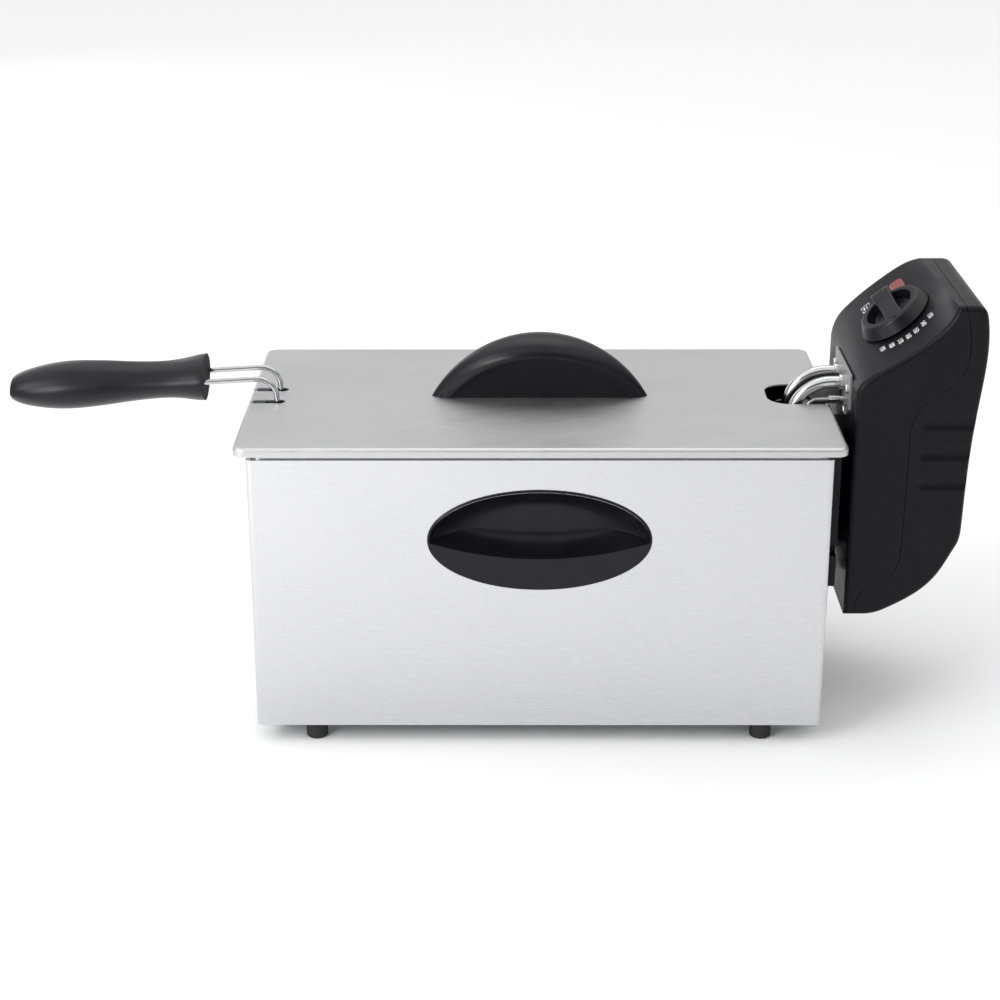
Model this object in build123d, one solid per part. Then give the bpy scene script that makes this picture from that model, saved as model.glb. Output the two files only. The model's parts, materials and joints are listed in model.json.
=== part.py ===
"""Deep fryer with a lift-off lid, wire basket, removable oil pan and hang-on control head.

Every piece is drawn in the housing's own frame: X along the housing towards the control head,
Y across it, Z up, with zero at the centre of the housing's lower edge. save() then moves each
piece so that the feet stand on Z = 0 and the whole object is centred on X = 0. Millimetres.
"""
import os
from math import asin, cos, degrees, radians, sin, sqrt
from build123d import *

# Overall driving dimensions
HOUSING_LENGTH, HOUSING_WIDTH, HOUSING_HEIGHT = 312.0, 174.0, 155.0
SHEET = 1.0
FOOT_HEIGHT = 10.8
GRIP_END_X = -295.7
HEAD_END_X = 239.7
ROW_SHIFT_X = -(GRIP_END_X + HEAD_END_X) / 2

# Housing and base
HOUSING_CORNER = 3.0
TOP_FLANGE = 3.0
BASE_RIM_HEIGHT = 10.0
FOOT_X, FOOT_Y, FOOT_RADIUS = 123.8, 77.0, 6.0
FOOT_SCREW_RADIUS = 2.0
FOOT_RECESS_DEPTH, FOOT_RECESS_RADIUS = 4.0, 3.8

# Oval side grips
GRIP_OVAL_X, GRIP_OVAL_Z = 60.35, 28.6
GRIP_OVAL_CENTRE_Z = 109.9
GRIP_PROUD = 1.2
GRIP_LIP_DIP_Z = 99.4
GRIP_LIP_END_Z = 108.6
GRIP_EDGE = 1.1
GRIP_POCKET_DEPTH = 15.2
GRIP_WALL = 1.6

# Oil pan
PAN_LENGTH, PAN_WIDTH = 302.0, 136.0
PAN_DRAFT = 0.6
PAN_FLOOR_Z = 9.0
PAN_WALL = 0.9
PAN_CORNER = 22.0
STEP_LENGTH, STEP_WIDTH = 308.0, 170.0
RIM_LENGTH, RIM_WIDTH = 321.0, 183.0
RIM_TOP_Z = 162.4
RIM_NOTCH_WIDTH = 9.0

# Lid
LID_LENGTH, LID_WIDTH = 324.4, 186.7
LID_TOP_Z, LID_SKIRT = 163.5, 4.6
LID_SHEET = 0.8
LID_CORNER = 6.5
SLOT_END_X, SLOT_WIDTH = -141.5, 6.6
CUTOUT_END_X, CUTOUT_FRONT_Y, CUTOUT_BACK_Y = 128.0, -16.5, 21.0
HANDLE_CENTRE_X, HANDLE_HALF_LENGTH, HANDLE_RISE = 0.7, 60.6, 36.0
HANDLE_HALF_WIDTH, HANDLE_TIP_HALF_WIDTH, HANDLE_HOLLOW = 16.0, 4.2, 4.6
HANDLE_SCREW_OFFSET = 32.0

# Basket
BASKET_LENGTH, BASKET_WIDTH = 272.0, 112.0
BASKET_CENTRE_X = -5.0
BASKET_FLOOR_Z, BASKET_RIM_Z = 53.0, 133.0
BASKET_TAPER = 5.0
BASKET_WALL = 1.2
RIM_ROD_RADIUS = 2.0
WIRE_RADIUS, WIRE_Y, WIRE_X = 1.5, 11.2, -146.0
WIRE_TOP_Z = 177.2
GRIP_START_X, GRIP_START_Z = -186.7, 174.4
GRIP_SLOPE = 3.4

# Control head
HEAD_HALF_WIDTH = 54.0
HEAD_LEFT_X, HEAD_BOTTOM_Z, HEAD_TOP_Z = 170.4, 52.0, 229.4
HEAD_WALL = 2.4
PANEL_SLOPE, PANEL_TILT = 37.4, 6.6
KNOB_CENTRE = Vector(197.6, -3.2, 209.9)
KNOB_RADIUS, KNOB_RIM_HEIGHT, KNOB_BAR_HEIGHT, KNOB_FLOOR = 21.0, 6.4, 12.0, 1.8
KNOB_GAP = 1.3
SHAFT_RADIUS = 3.0
TUBE_RADIUS, TUBE_Y, TUBE_Z, TUBE_DROP_X = 3.4, 10.5, 174.5, 141.0
ELEMENT_Z = 38.0
TONGUE_BOTTOM_Z, TONGUE_TOP_Z = 86.6, 148.0

HEAD_EDGE_RADIUS = 3.0
SEAM_GAP = 0.35
GROOVE_START_X, GROOVE_TOP_Z, GROOVE_PITCH = 206.0, 164.7, 17.1
LENS_ALONG, LENS_ACROSS = 9.8, 26.3
KNOB_POINTER_ANGLE = -91.0
PLATE_FRONT_Y, PLATE_BACK_Y, PLATE_BOTTOM_Z, PLATE_TOP_Z = -34.8, 22.4, 166.2, 185.6
SLEEVE_Y, SLEEVE_Z, SLEEVE_RADIUS, CAPILLARY_RADIUS = -14.2, 166.4, 1.6, 0.8
CAPILLARY_DROP_X, CAPILLARY_DROP_Y = 146.6, -16.5
PLUNGER_Z, PLUNGER_RADIUS, PLUNGER_GAP, PLUNGER_TRAVEL = 78.0, 2.0, 0.4, 2.5
PLUNGER_END_X = 178.0
RESET_X, RESET_Z, RESET_RADIUS = 214.0, 112.0, 4.0
GLAND_X, GLAND_Z, GLAND_RADIUS, GLAND_BORE_RADIUS = 212.0, 84.0, 6.5, 3.7

# Guide rail
RAIL_BOTTOM_Z, RAIL_TOP_Z, RAIL_HALF_WIDTH = 68.0, 150.0, 50.0

HOUSING_END_X = HOUSING_LENGTH / 2
HOUSING_SIDE_Y = HOUSING_WIDTH / 2
PANEL_NORMAL = (-sin(radians(PANEL_SLOPE)) * cos(radians(PANEL_TILT)), -sin(radians(PANEL_TILT)),
                cos(radians(PANEL_SLOPE)) * cos(radians(PANEL_TILT)))
PANEL = Plane(origin=KNOB_CENTRE, x_dir=(cos(radians(PANEL_SLOPE)), 0, sin(radians(PANEL_SLOPE))),
              z_dir=PANEL_NORMAL)


def block(x0, x1, y0, y1, z0, z1):
    """Box between two corners."""
    return Pos((x0 + x1) / 2, (y0 + y1) / 2, (z0 + z1) / 2) * Box(x1 - x0, y1 - y0, z1 - z0)


def pillar(x, y, z0, z1, radius):
    """Upright cylinder."""
    return Pos(x, y, (z0 + z1) / 2) * Cylinder(radius, z1 - z0)


def bar_x(x0, x1, y, z, radius):
    """Cylinder along X."""
    return Pos((x0 + x1) / 2, y, z) * Rot(0, 90, 0) * Cylinder(radius, x1 - x0)


def bar_y(x, y0, y1, z, radius):
    """Cylinder along Y."""
    return Pos(x, (y0 + y1) / 2, z) * Rot(90, 0, 0) * Cylinder(radius, y1 - y0)


def rounded_slab(length, width, corner, z0, z1):
    """Upright prism on a rounded rectangle."""
    return Pos(0, 0, z0) * extrude(RectangleRounded(length, width, corner), z1 - z0)


def wire_rod(points, bend_radii, radius):
    """Round rod along straight runs joined by tangent arcs."""
    path = FilletPolyline(*points, radius=bend_radii)
    return sweep(Plane(origin=path @ 0, z_dir=path % 0) * Circle(radius), path)


def hex_nut(x, y, z0, z1, across_flats, bore):
    """Upright hexagon nut."""
    nut = extrude(RegularPolygon(across_flats / sqrt(3), 6), z1 - z0)
    return Pos(x, y, z0) * nut - pillar(x, y, z0 - 1, z1 + 1, bore)


def pan_screw(radius, length, head_radius, head_height):
    """Pan-head screw with a cross recess. Head on top, its seat at Z = 0, thread down."""
    head = Pos(0, 0, head_height / 2) * Cylinder(head_radius, head_height)
    head = fillet(head.faces().sort_by(Axis.Z)[-1].edges(), head_height * 0.45)
    slot = head_radius * 1.1
    for angle in (0, 90):
        head -= Pos(0, 0, head_height) * Rot(0, 0, angle) * Box(slot, 0.7, head_height)
    return head + Pos(0, 0, -length / 2) * Cylinder(radius, length)


# ---------------------------------------------------------------- housing

def oval_face(half_x, half_z, y):
    """Upright ellipse at a given Y, centred on a side grip."""
    plane = Plane(origin=(0, y, GRIP_OVAL_CENTRE_Z), x_dir=(1, 0, 0), z_dir=(0, -1, 0))
    return plane * Ellipse(half_x, half_z)


def make_housing_shell():
    inner_length, inner_width = HOUSING_LENGTH - 2 * SHEET, HOUSING_WIDTH - 2 * SHEET
    shell = rounded_slab(HOUSING_LENGTH, HOUSING_WIDTH, HOUSING_CORNER, 0, HOUSING_HEIGHT)
    shell -= rounded_slab(inner_length, inner_width, HOUSING_CORNER - SHEET, -1, HOUSING_HEIGHT - SHEET)
    shell -= rounded_slab(HOUSING_LENGTH - 2 * TOP_FLANGE, HOUSING_WIDTH - 2 * TOP_FLANGE,
                          HOUSING_CORNER, HOUSING_HEIGHT - 2 * SHEET, HOUSING_HEIGHT + 1)
    shell -= extrude(oval_face(GRIP_OVAL_X - 1.6, GRIP_OVAL_Z - 1.6, HOUSING_SIDE_Y + 5), HOUSING_WIDTH + 10)
    for y, z in rail_screw_places():
        shell -= bar_x(HOUSING_END_X - 5, HOUSING_END_X + 5, y, z, 1.6)
    return shell


def make_base_plate():
    gap = 0.1
    length, width = HOUSING_LENGTH - 2 * (SHEET + gap), HOUSING_WIDTH - 2 * (SHEET + gap)
    plate = rounded_slab(length, width, 2, 0, BASE_RIM_HEIGHT)
    plate -= rounded_slab(length - 2 * SHEET, width - 2 * SHEET, 1, SHEET, BASE_RIM_HEIGHT + 1)
    vent = extrude(SlotOverall(46, 4), 3 * SHEET)
    for row in range(-2, 3):
        for column in (-1, 1):
            plate -= Pos(column * 45, row * 14, -SHEET) * vent
    for x, y in foot_places():
        plate -= pillar(x, y, -1, 3, FOOT_SCREW_RADIUS + 0.15)
    return plate


def foot_places():
    return [(sx * FOOT_X, sy * FOOT_Y) for sx in (-1, 1) for sy in (-1, 1)]


def make_rubber_feet():
    foot = Pos(0, 0, -FOOT_HEIGHT / 2) * Cylinder(FOOT_RADIUS, FOOT_HEIGHT)
    foot = fillet(foot.edges().sort_by(Axis.Z)[0], 1.2)
    foot -= pillar(0, 0, -FOOT_HEIGHT - 1, -FOOT_HEIGHT + FOOT_RECESS_DEPTH, FOOT_RECESS_RADIUS)
    foot -= pillar(0, 0, -FOOT_HEIGHT, 1, FOOT_SCREW_RADIUS + 0.15)
    return [Pos(x, y, 0) * foot for x, y in foot_places()]


def make_foot_screws():
    seat = -FOOT_HEIGHT + FOOT_RECESS_DEPTH
    screw = Rot(180, 0, 0) * pan_screw(FOOT_SCREW_RADIUS, -seat + 6, 3.6, 2.6)
    return [Pos(x, y, seat) * screw for x, y in foot_places()]


def make_foot_nuts():
    return [hex_nut(x, y, SHEET, SHEET + 3.2, 7.0, FOOT_SCREW_RADIUS + 0.05) for x, y in foot_places()]


def pocket_section(inset, y):
    """Area between the grip's dipped lip and its upper oval edge, shrunk by inset."""
    half_x = GRIP_OVAL_X - GRIP_EDGE - inset
    half_z = GRIP_OVAL_Z - GRIP_EDGE - 0.62 * inset
    end_z = GRIP_LIP_END_Z + 0.12 * inset
    dip_z = GRIP_LIP_DIP_Z + 0.45 * inset
    lift = degrees(asin((end_z - GRIP_OVAL_CENTRE_Z) / half_z))
    end_x = half_x * cos(radians(lift))
    plane = Plane(origin=(0, y, 0), x_dir=(1, 0, 0), z_dir=(0, -1, 0))
    with BuildSketch(plane) as lens:
        with BuildLine():
            EllipticalCenterArc((0, GRIP_OVAL_CENTRE_Z), half_x, half_z, lift, arc_size=180 - 2 * lift)
            ThreePointArc((-end_x, end_z), (0, dip_z), (end_x, end_z))
        make_face()
    return lens.sketch.faces()[0]


def make_side_grip_front():
    """Oval plate with a flush crescent lip and a scooped finger pocket behind it."""
    plate_face = oval_face(GRIP_OVAL_X, GRIP_OVAL_Z, -HOUSING_SIDE_Y)
    plate = extrude(plate_face, GRIP_PROUD)
    plate = fillet(plate.faces().sort_by(Axis.Y)[0].edges(), 0.9)
    plug = extrude(oval_face(GRIP_OVAL_X - 1.9, GRIP_OVAL_Z - 1.9, -HOUSING_SIDE_Y + 2.6), 2.6)
    front_y = -HOUSING_SIDE_Y - GRIP_PROUD
    scoop = [(0.0, 0.0), (4.0, 2.2), (9.0, 7.0), (13.0, 14.0), (GRIP_POCKET_DEPTH, 24.0)]
    skin = [(0.6, 1.0), (5.2, 1.2), (10.6, 5.4), (14.6, 12.0), (GRIP_POCKET_DEPTH + GRIP_WALL, 22.0)]
    inner = loft([pocket_section(inset, front_y + depth) for depth, inset in scoop])
    outer = loft([pocket_section(inset, front_y + depth) for depth, inset in skin])
    outer &= extrude(oval_face(GRIP_OVAL_X - 1.9, GRIP_OVAL_Z - 1.9, front_y + 40), 40)
    return plate + plug + outer - inner


def make_side_grip_rear():
    return mirror(make_side_grip_front(), Plane.XZ)


def rail_screw_places():
    return [(sy * 40.0, z) for sy in (-1, 1) for z in (96.0, 136.0)]


def make_guide_rail():
    """Open-topped channel that the control head's tongue slides down into."""
    x0 = HOUSING_END_X
    rail = block(x0, x0 + 4.4, -RAIL_HALF_WIDTH, RAIL_HALF_WIDTH, RAIL_BOTTOM_Z, RAIL_TOP_Z)
    rail += block(x0, x0 + 10, -25, 25, RAIL_BOTTOM_Z, TONGUE_BOTTOM_Z - 0.6)
    for side in (-1, 1):
        rail += Pos(0, side * 22.5, 0) * block(x0, x0 + 12, -3.0, 3.0, RAIL_BOTTOM_Z, RAIL_TOP_Z)
        rail += Pos(0, side * 17.5, 0) * block(x0 + 9, x0 + 12, -3.5, 3.5, RAIL_BOTTOM_Z, RAIL_TOP_Z)
        rail += Pos(0, side * (RAIL_HALF_WIDTH - 1.5), 0) * block(x0, x0 + 9, -1.5, 1.5, 92, RAIL_TOP_Z)
        rail += Pos(0, side * (RAIL_HALF_WIDTH - 4), 0) * block(x0, x0 + 9, -4, 4, RAIL_BOTTOM_Z, 86)
    for y, z in rail_screw_places():
        rail -= bar_x(x0 - 1, x0 + 6, y, z, 1.6)
    return rail


def make_guide_rail_screws():
    screw = Rot(0, 90, 0) * pan_screw(1.5, 8.0, 2.9, 2.0)
    return [Pos(HOUSING_END_X + 4.4, y, z) * screw for y, z in rail_screw_places()]


# ---------------------------------------------------------------- oil pan

def pan_body(length, width, corner, z0, z1, edge):
    """Drafted tub that narrows downwards, with a rounded floor edge."""
    top = Pos(0, 0, z1) * RectangleRounded(length, width, corner)
    tub = extrude(top, amount=-(z1 - z0), taper=PAN_DRAFT)
    return fillet(tub.faces().sort_by(Axis.Z)[0].edges(), edge)


def make_oil_pan():
    shelf_z = HOUSING_HEIGHT + PAN_WALL
    pan = pan_body(PAN_LENGTH, PAN_WIDTH, PAN_CORNER, PAN_FLOOR_Z, HOUSING_HEIGHT, 12)
    pan += rounded_slab(STEP_LENGTH, STEP_WIDTH, 6, HOUSING_HEIGHT, RIM_TOP_Z)
    pan += rounded_slab(RIM_LENGTH, RIM_WIDTH, 8, RIM_TOP_Z - PAN_WALL, RIM_TOP_Z)
    pan -= rounded_slab(STEP_LENGTH - 2 * PAN_WALL, STEP_WIDTH - 2 * PAN_WALL, 6 - PAN_WALL,
                        shelf_z, RIM_TOP_Z + 1)
    half_notch = RIM_NOTCH_WIDTH / 2
    for side in (-1, 1):
        y = side * WIRE_Y
        pan += block(-RIM_LENGTH / 2, 1 - STEP_LENGTH / 2,
                     y - half_notch - PAN_WALL, y + half_notch + PAN_WALL,
                     shelf_z + 1.5 - PAN_WALL, RIM_TOP_Z)
        pan -= block(PAN_WALL - RIM_LENGTH / 2, 2 - STEP_LENGTH / 2, y - half_notch, y + half_notch,
                     shelf_z + 1.5, RIM_TOP_Z + 1)
    inside = pan_body(PAN_LENGTH - 2 * PAN_WALL, PAN_WIDTH - 2 * PAN_WALL, PAN_CORNER - PAN_WALL,
                      PAN_FLOOR_Z + PAN_WALL, shelf_z + 1, 11)
    pan -= inside
    for level in (78.0, 104.0):
        pan += block(-18, 18, PAN_WIDTH / 2 - 2.6, PAN_WIDTH / 2 - 1.4, level, level + 1.2)
    return pan


# ---------------------------------------------------------------- lid

def make_lid_panel():
    z0 = LID_TOP_Z - LID_SKIRT
    lid = rounded_slab(LID_LENGTH, LID_WIDTH, LID_CORNER, z0, LID_TOP_Z)
    lid = fillet(lid.faces().sort_by(Axis.Z)[-1].edges(), 2.0)
    inner = rounded_slab(LID_LENGTH - 2 * LID_SHEET, LID_WIDTH - 2 * LID_SHEET, LID_CORNER - LID_SHEET,
                         z0 - 1, LID_TOP_Z - LID_SHEET)
    lid -= fillet(inner.faces().sort_by(Axis.Z)[-1].edges(), 1.2)
    for side in (-1, 1):
        lid -= slot_cutter(side * WIRE_Y)
    lid -= cutout_cutter()
    for side in (-1, 1):
        lid -= pillar(HANDLE_CENTRE_X + side * HANDLE_SCREW_OFFSET, 0, 150, 170, 2.15)
    return lid


def slot_cutter(y):
    """Open slot at the lid's left edge for one handle wire, with a pointed round end."""
    length = SLOT_END_X + LID_LENGTH / 2 + 10
    slot = extrude(SlotOverall(2 * length, SLOT_WIDTH), 30)
    return Pos(SLOT_END_X - length, y, 145) * slot


def cutout_cutter():
    """Opening at the lid's right edge for the heating tubes, rounded at its inner end."""
    width = CUTOUT_BACK_Y - CUTOUT_FRONT_Y
    reach = LID_LENGTH / 2 + 20 - CUTOUT_END_X
    with BuildSketch() as plan:
        with Locations((CUTOUT_END_X + reach, (CUTOUT_BACK_Y + CUTOUT_FRONT_Y) / 2)):
            RectangleRounded(2 * reach, width, 13)
    return Pos(0, 0, 145) * extrude(plan.sketch, 30)


def bow_section(angle, radius, axis_z):
    """Section across the handle's bow: a half oval above, hollowed below, narrower towards the tips."""
    fraction = 1 - (radius * sin(radians(angle)) / HANDLE_HALF_LENGTH) ** 2
    half_width = HANDLE_TIP_HALF_WIDTH + (HANDLE_HALF_WIDTH - HANDLE_TIP_HALF_WIDTH) * fraction
    depth = 8.7 + 0.9 * fraction
    hollow = HANDLE_HOLLOW * half_width / HANDLE_HALF_WIDTH
    outward = Vector(sin(radians(angle)), 0, cos(radians(angle)))
    crest = Vector(HANDLE_CENTRE_X, 0, axis_z) + radius * outward
    plane = Plane(origin=crest, x_dir=(0, 1, 0), z_dir=Vector(0, 1, 0).cross(outward))
    with BuildSketch(plane) as section:
        with BuildLine():
            EllipticalCenterArc((0, -depth), half_width, depth, 0, arc_size=180)
            ThreePointArc((-half_width, -depth), (0, hollow - depth), (half_width, -depth))
        make_face()
    return section.sketch.faces()[0]


def make_lid_handle():
    """Half-moon bow: a crowned band, widest in the middle, on a flat upright web."""
    radius = (HANDLE_HALF_LENGTH ** 2 + HANDLE_RISE ** 2) / (2 * HANDLE_RISE)
    axis_z = LID_TOP_Z + HANDLE_RISE - radius
    band = loft([bow_section(angle, radius, axis_z) for angle in range(-66, 67, 12)])
    web = bar_y(HANDLE_CENTRE_X, -4.5, 4.5, axis_z, radius - 4.0)
    handle = (band + web) & block(-90, 90, -30, 30, LID_TOP_Z, LID_TOP_Z + 60)
    for side in (-1, 1):
        x = HANDLE_CENTRE_X + side * HANDLE_SCREW_OFFSET
        handle -= pillar(x, 0, LID_TOP_Z - 1, LID_TOP_Z + 13, 1.85)
    return handle


def make_lid_handle_screws():
    seat = LID_TOP_Z - LID_SHEET - 0.8
    screw = Rot(180, 0, 0) * pan_screw(1.8, 13.0, 3.5, 2.2)
    return [Pos(HANDLE_CENTRE_X + side * HANDLE_SCREW_OFFSET, 0, seat) * screw for side in (-1, 1)]


def make_lid_handle_washers():
    top = LID_TOP_Z - LID_SHEET
    ring = Pos(0, 0, top - 0.4) * (Cylinder(4.8, 0.8) - Cylinder(1.9, 2))
    return [Pos(HANDLE_CENTRE_X + side * HANDLE_SCREW_OFFSET, 0, 0) * ring for side in (-1, 1)]


# ---------------------------------------------------------------- basket

def basket_tub(grow, z0, z1):
    """Tapered basket envelope, larger than the nominal basket by grow on each side."""
    depth = BASKET_RIM_Z - BASKET_FLOOR_Z
    sections = []
    for z in (z0, z1):
        inset = BASKET_TAPER * (BASKET_RIM_Z - z) / depth
        size_x = BASKET_LENGTH + 2 * (grow - inset)
        size_y = BASKET_WIDTH + 2 * (grow - inset)
        sections.append(Pos(BASKET_CENTRE_X, 0, z) * RectangleRounded(size_x, size_y, 16 + grow))
    tub = loft([section.faces()[0] for section in sections])
    return fillet(tub.faces().sort_by(Axis.Z)[0].edges(), 7 + grow)


def make_basket_mesh():
    return basket_tub(0, BASKET_FLOOR_Z, BASKET_RIM_Z) - basket_tub(
        -BASKET_WALL, BASKET_FLOOR_Z + BASKET_WALL, BASKET_RIM_Z + 0.5)


def make_basket_rim():
    half_x, half_y = BASKET_LENGTH / 2 + 1.4, BASKET_WIDTH / 2 + 1.4
    z = BASKET_RIM_Z + RIM_ROD_RADIUS + 0.05
    outline = Plane(origin=(BASKET_CENTRE_X, 0, z)) * RectangleRounded(2 * half_x, 2 * half_y, 17)
    path = outline.faces()[0].outer_wire()
    return sweep(Plane(origin=path @ 0, z_dir=path % 0) * Circle(RIM_ROD_RADIUS), path)


def make_basket_supports():
    """Two bent rods that carry the mesh, one under each third of the basket."""
    top_y = BASKET_WIDTH / 2 + WIRE_RADIUS + 0.3
    low_y = top_y - BASKET_TAPER
    low_z = BASKET_FLOOR_Z - WIRE_RADIUS - 0.1
    rods = []
    for x in (-70.0, 60.0):
        points = [(x, -top_y, BASKET_RIM_Z - 1), (x, -low_y, low_z),
                  (x, low_y, low_z), (x, top_y, BASKET_RIM_Z - 1)]
        rods.append(wire_rod(points, 8, WIRE_RADIUS))
    return rods


def make_drain_hooks():
    """Two hooks at the basket's head end that hang it on the pan's rim to drain."""
    start_x = BASKET_CENTRE_X + BASKET_LENGTH / 2 + 1.4 + RIM_ROD_RADIUS + WIRE_RADIUS + 0.05
    hooks = []
    for y in (-33.0, 33.0):
        points = [(start_x, y, 112), (start_x, y, 150), (start_x + 9, y, 150), (start_x + 9, y, 138)]
        hooks.append(wire_rod(points, 4, WIRE_RADIUS))
    return hooks


def make_handle_wires():
    """Two rods that rise through the lid's slots and run out into the grip."""
    slope = sin(radians(GRIP_SLOPE))
    inside_x = GRIP_START_X - 26
    inside_z = WIRE_TOP_Z + (inside_x - WIRE_X) * slope
    rods = []
    for side in (-1, 1):
        y = side * WIRE_Y
        points = [(WIRE_X, y, 88), (WIRE_X, y, WIRE_TOP_Z), (inside_x, y, inside_z)]
        rods.append(wire_rod(points, 10.5, WIRE_RADIUS))
    return rods


def grip_section(distance, half_y, up, down, crease):
    """Section across the grip at a distance from its wire end: crowned above a crease, flatter below."""
    x = GRIP_START_X - distance * cos(radians(GRIP_SLOPE))
    z = GRIP_START_Z - distance * sin(radians(GRIP_SLOPE))
    plane = Plane(origin=(x, 0, z), x_dir=(0, 1, 0), z_dir=(1, 0, 0))
    with BuildSketch(plane) as section:
        with BuildLine():
            EllipticalCenterArc((0, -crease), half_y, up + crease, 0, arc_size=180)
            ThreePointArc((-half_y, -crease), (0, -down), (half_y, -crease))
        make_face()
    return section.sketch.faces()[0]


def make_basket_grip():
    stations = [
        (0, 19.5, 12.6, 12.6, 0.0), (3.0, 19.3, 12.4, 12.4, 0.2), (12, 17.4, 10.9, 10.9, 0.6),
        (24, 16.0, 10.0, 10.0, 1.0), (38, 15.8, 10.6, 10.6, 1.3), (54, 16.8, 12.1, 12.0, 1.6),
        (70, 17.6, 13.2, 13.0, 1.8), (84, 17.2, 12.9, 12.6, 1.9), (96, 15.2, 11.0, 10.8, 1.9),
        (104, 12.8, 8.8, 8.6, 1.6), (109.2, 9.8, 5.8, 5.6, 1.2),
    ]
    grip = loft([grip_section(*station) for station in stations])
    grip = fillet(grip.faces().sort_by(Axis.X)[0].edges(), 1.6)
    for side in (-1, 1):
        grip -= wire_channel(side * WIRE_Y)
    return grip


def wire_channel(y):
    slope = sin(radians(GRIP_SLOPE))
    start = Vector(GRIP_START_X + 6, y, WIRE_TOP_Z + (GRIP_START_X + 6 - WIRE_X) * slope)
    end = Vector(GRIP_START_X - 26.2, y, WIRE_TOP_Z + (GRIP_START_X - 26.2 - WIRE_X) * slope)
    run = end - start
    return Solid.make_cylinder(WIRE_RADIUS + 0.05, run.length, Plane(origin=start, z_dir=run))


# ---------------------------------------------------------------- control head shells

def head_outline(inset, y, front):
    """Side outline of the head. The panel's edge sits lower on the front side than on the back."""
    left, bottom, top = HEAD_LEFT_X + inset, HEAD_BOTTOM_Z + inset, HEAD_TOP_Z - inset
    right = [(232.6, 104.0), (234.2, 146.0), (237.2, 177.0), (239.6, 203.0), (238.6, 221.0)]
    right = [(x - inset, z) for x, z in right]
    if front:
        panel = [(221.5, 229.4), (218.2, 220.5), (210.4, 211.9), (198.8, 203.0), (184.6, 194.3),
                 (176.6, 189.4), (172.0, 185.0), (170.4, 179.0)]
    else:
        panel = [(219.0, 229.4), (209.0, 226.2), (201.3, 221.2), (187.4, 210.2), (179.0, 202.2),
                 (174.2, 196.4), (171.4, 190.0), (170.4, 182.0)]
    shift = inset * 0.72
    panel = [(x + shift, z - shift * 1.05) for x, z in panel]
    panel[0] = (panel[0][0], top)
    panel[-1] = (left, panel[-1][1])
    plane = Plane(origin=(0, y, 0), x_dir=(1, 0, 0), z_dir=(0, -1, 0))
    low_right = (232.6 - inset, 104.0)
    with BuildSketch(plane) as outline:
        with BuildLine():
            Line((left, bottom), (181.0, bottom))
            Spline((181.0, bottom),
                   (196.0 - 0.3 * inset, 56.4 + 0.95 * inset), (209.5 - 0.6 * inset, 64.4 + 0.8 * inset),
                   (221.6 - 0.8 * inset, 76.8 + 0.6 * inset), (229.3 - 0.93 * inset, 91.0 + 0.35 * inset),
                   low_right, tangents=((1, 0), (0.03, 1)))
            Spline(*right, tangents=((0.03, 1), (-0.15, 1)))
            Spline(right[-1], (236.6 - inset, 227.0 - inset), (231.0 - inset, top),
                   tangents=((-0.15, 1), (-1, 0)))
            Line((231.0 - inset, top), panel[0])
            Spline(*panel)
            Line(panel[-1], (left, bottom))
        make_face()
    return outline.sketch.faces()[0]


def head_solid(inset):
    half = HEAD_HALF_WIDTH - inset
    return loft([head_outline(inset, -half, True), head_outline(inset, half, False)], ruled=True)


def seam_region(offset):
    """Everything on the housing side of the S-shaped seam, moved by offset along X."""
    points = [(224.0, 245.0), (226.0, 228.0), (229.4, 210.0), (224.0, 188.2), (211.0, 178.0), (202.3, 167.5),
              (200.3, 150.0), (200.2, 125.0), (199.7, 94.0), (195.8, 77.5), (186.0, 71.2), (178.6, 65.0),
              (176.0, 54.0), (176.0, 40.0)]
    points = [(x + offset, z) for x, z in points]
    plane = Plane(origin=(0, 70, 0), x_dir=(1, 0, 0), z_dir=(0, -1, 0))
    with BuildSketch(plane) as region:
        with BuildLine():
            Spline(*points)
            Polyline(points[-1], (140, 40), (140, 245), points[0])
        make_face()
    return extrude(region.sketch, 140)


def side_edges(body):
    """Edges that run round the head's two flat sides."""
    return [edge for edge in body.edges() if abs(abs(edge.center().Y) - HEAD_HALF_WIDTH) < 0.1]


def head_walls():
    body = head_solid(0)
    walls = fillet(side_edges(body), HEAD_EDGE_RADIUS) - head_solid(HEAD_WALL)
    return walls & block(HEAD_LEFT_X, HEAD_LEFT_X + 80, -60, 60, HEAD_BOTTOM_Z - 1, HEAD_TOP_Z + 1)


def on_panel(along, across, height, shape):
    """Place a shape on the sloping panel, measured from the knob's centre."""
    return PANEL * Pos(along, across, height) * shape


def tongue():
    """T-shaped tongue on the head's inner face that slides in the guide rail."""
    neck = block(HOUSING_END_X + 8.5, HEAD_LEFT_X + 1, -13.4, 13.4, TONGUE_BOTTOM_Z, TONGUE_TOP_Z)
    flange = block(HOUSING_END_X + 4.9, HOUSING_END_X + 8.5, -19.0, 19.0, TONGUE_BOTTOM_Z, TONGUE_TOP_Z)
    return neck + flange


def make_head_front_shell():
    shell = head_walls() & seam_region(0)
    shell += tongue()
    shell -= on_panel(0, 0, 0, Cylinder(SHAFT_RADIUS + 0.5, 20))
    shell -= on_panel(LENS_ALONG, LENS_ACROSS, 0, extrude(RectangleRounded(6.2, 10.0, 2.6), 12, both=True))
    for y, z, radius in head_inlet_places():
        shell -= bar_x(HEAD_LEFT_X - 4, HEAD_LEFT_X + 6, y, z, radius)
    shell -= bar_x(HEAD_LEFT_X - 4, HEAD_LEFT_X + 6, 0, PLUNGER_Z, PLUNGER_RADIUS + 0.3)
    for y, z in plate_screw_places():
        shell -= bar_x(HEAD_LEFT_X - 4, HEAD_LEFT_X + 6, y, z, 1.3)
    for y, z in cover_screw_places():
        shell -= bar_x(HEAD_LEFT_X - 4, HEAD_LEFT_X + 6, y, z, 1.6)
    return shell


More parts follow.
